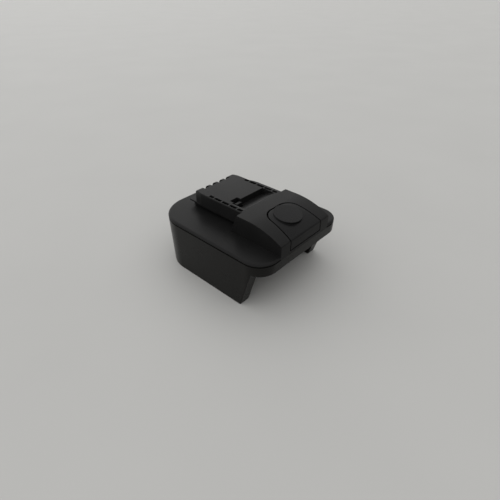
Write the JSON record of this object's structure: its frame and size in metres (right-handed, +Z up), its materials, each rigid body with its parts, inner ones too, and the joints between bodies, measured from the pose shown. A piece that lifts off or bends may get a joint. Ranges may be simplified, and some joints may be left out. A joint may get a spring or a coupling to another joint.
{
  "type": "tool battery adapter",
  "caption": "Cordless tool battery adapter: skirted housing with a pack bay below, undercut slide rails with a slotted contact deck on top, and a sprung thumb latch at the front.",
  "frame": {"origin": "centre of the plan on the plane of the skirt's foot", "axes": "+X to the right seen from the latch, +Y from the latch to the back, +Z up"},
  "size_m": [0.08, 0.095, 0.05],
  "materials": {
    "housing_plastic": "fine spark-eroded grain",
    "cover_plastic": "fine spark-eroded grain",
    "latch_plastic": "fine spark-eroded grain",
    "insulator": "smooth moulded",
    "bright_steel": "zinc plated",
    "contact_brass": "stamped sheet",
    "board_laminate": "green solder mask",
    "component_black": "moulded resin",
    "capacitor_sleeve": "shrink sleeve",
    "wire_red": "soft insulation",
    "wire_black": "soft insulation",
    "wire_yellow": "soft insulation",
    "wire_white": "soft insulation"
  },
  "bodies": {
    "housing": {"lower_housing": "housing_plastic", "top_cover": "cover_plastic", "latch_hinge_pin": "bright_steel", "latch_spring_left": "bright_steel", "latch_spring_right": "bright_steel", "clip_carrier": "insulator", "clip_positive": "contact_brass", "clip_negative": "contact_brass", "clip_signal_left": "contact_brass", "clip_signal_right": "contact_brass", "blade_carrier": "insulator", "blade_positive": "contact_brass", "blade_negative": "contact_brass", "blade_signal_left": "contact_brass", "blade_signal_right": "contact_brass", "circuit_board": "board_laminate", "power_transistors": "component_black", "control_chip": "component_black", "smoothing_capacitor": "capacitor_sleeve", "chip_resistors": "component_black", "wire_positive": "wire_red", "wire_negative_pack": "wire_black", "wire_negative_tool": "wire_black", "wire_signal_left": "wire_yellow", "wire_signal_right": "wire_white", "housing_screws": "bright_steel", "carrier_screws": "bright_steel", "board_screws": "bright_steel"},
    "latch": {"release_latch": "latch_plastic"}
  },
  "joints": [
    {"name": "latch_press", "type": "hinge", "parent": "housing", "child": "latch", "pos_m": [0, -0.0425, 0.041], "axis": [-1, 0, 0], "range_deg": [0, 5], "stiffness_Nm_per_rad": 0.1, "springref_deg": -14.32, "deforming": ["latch_spring_left", "latch_spring_right"]}
  ]
}
